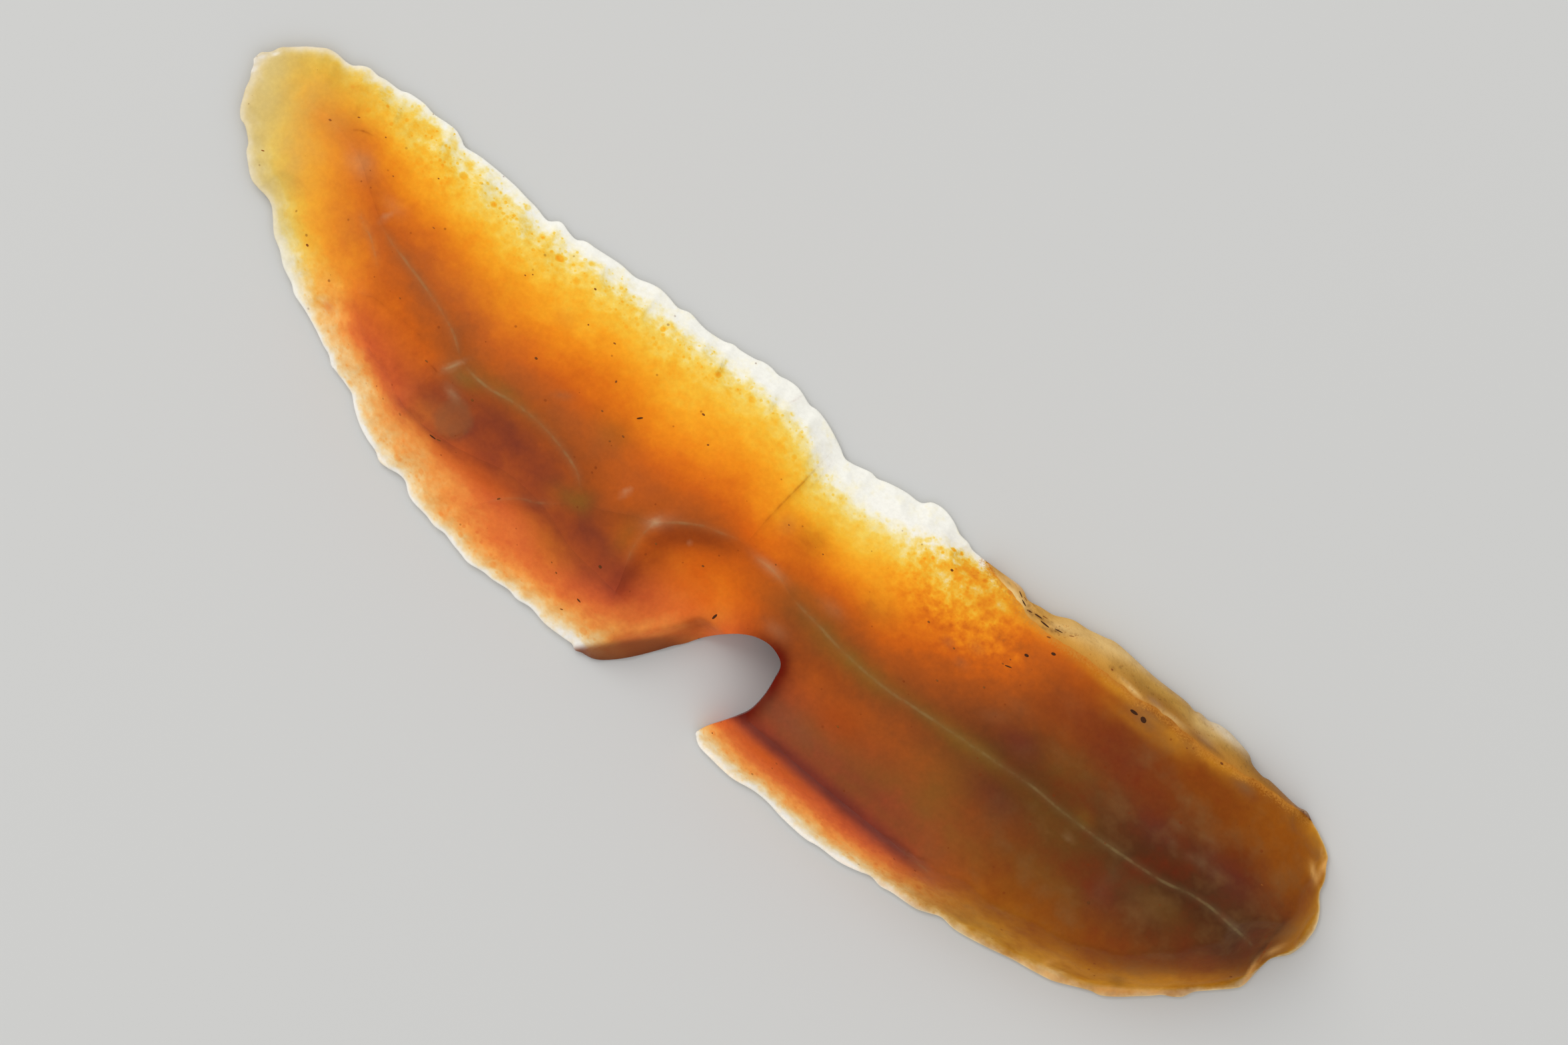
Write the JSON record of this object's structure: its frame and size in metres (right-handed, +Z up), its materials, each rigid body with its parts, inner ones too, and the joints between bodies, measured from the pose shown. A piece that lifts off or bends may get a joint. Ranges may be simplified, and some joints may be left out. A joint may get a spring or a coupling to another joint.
{
  "type": "flint blade",
  "caption": "Long knapped flint blade with a curved notched belly edge, a straighter back edge that keeps a strip of cortex, and a flat ventral face.",
  "frame": {"origin": "under the middle of the blade's bounding box, on the ventral face that it rests on", "axes": "+X along the blade from the tip to the butt, +Y towards the straighter back edge, +Z up out of the dorsal face"},
  "size_m": [0.1029, 0.0262, 0.008],
  "materials": {
    "flint": "satin conchoidal fracture, waxy and slightly translucent",
    "cortex": "matt, chalky and pitted"
  },
  "bodies": {
    "root": {"flint_body": "flint", "cortex_rim": "cortex"}
  },
  "joints": []
}
